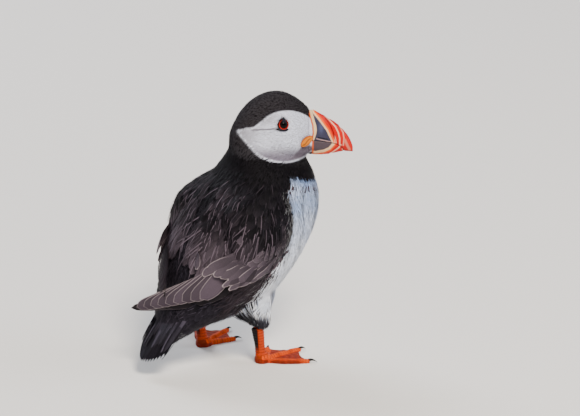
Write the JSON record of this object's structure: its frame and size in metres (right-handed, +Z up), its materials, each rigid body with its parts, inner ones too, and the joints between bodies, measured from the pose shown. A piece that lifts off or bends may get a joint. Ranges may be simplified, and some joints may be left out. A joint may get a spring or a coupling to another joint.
{
  "type": "atlantic puffin",
  "caption": "Atlantic puffin standing on both webbed feet, head turned to its right, wings folded with one tip over the other; a still life-size model.",
  "frame": {"origin": "on the floor, under the middle of the bird's bounding box", "axes": "+X is the way the trunk faces, +Y the bird's left, +Z up; the soles rest on z = 0"},
  "size_m": [0.1754, 0.1238, 0.2089],
  "materials": {
    "black_feather": "matt, faintly brown black feathers",
    "brown_feather": "worn brown-black quill feathers with pale fringes",
    "white_feather": "dense soft white feathers",
    "grey_feather": "short velvety feathers, white on the cheek, black on the crown",
    "leg_skin": "scaly orange skin, satin",
    "web_skin": "thin wrinkled red-orange skin",
    "claw": "black horn, smooth",
    "eye": "wet dark brown, clear gloss",
    "eye_ring": "small red beads of bare skin",
    "dark_horn": "blue-grey horn, satin",
    "cream_horn": "cream horn with fine pits",
    "red_horn": "orange-red horn with pale grooves",
    "rosette": "wrinkled orange-yellow bare skin"
  },
  "bodies": {
    "root": {"eye_left": "eye", "eye_ring_left": "eye_ring", "eye_plate_upper_left": "dark_horn", "eye_plate_lower_left": "dark_horn", "rosette_left": "rosette", "wing_left_arm": "black_feather", "wing_left_secondaries": "brown_feather", "wing_left_primaries": "brown_feather", "thigh_left": "white_feather", "tarsus_left": "leg_skin", "toe_outer_left": "leg_skin", "claw_outer_left": "claw", "toe_middle_left": "leg_skin", "claw_middle_left": "claw", "toe_inner_left": "leg_skin", "claw_inner_left": "claw", "web_outer_left": "web_skin", "web_inner_left": "web_skin", "eye_right": "eye", "eye_ring_right": "eye_ring", "eye_plate_upper_right": "dark_horn", "eye_plate_lower_right": "dark_horn", "rosette_right": "rosette", "wing_right_arm": "black_feather", "wing_right_secondaries": "brown_feather", "wing_right_primaries": "brown_feather", "thigh_right": "white_feather", "tarsus_right": "leg_skin", "toe_outer_right": "leg_skin", "claw_outer_right": "claw", "toe_middle_right": "leg_skin", "claw_middle_right": "claw", "toe_inner_right": "leg_skin", "claw_inner_right": "claw", "web_outer_right": "web_skin", "web_inner_right": "web_skin", "bill_base_ridge": "cream_horn", "bill_upper_plate": "dark_horn", "bill_lower_plate": "dark_horn", "bill_upper_tip": "red_horn", "bill_lower_tip": "red_horn", "head": "grey_feather", "neck": "black_feather", "trunk": "white_feather", "tail": "black_feather"}
  },
  "joints": []
}
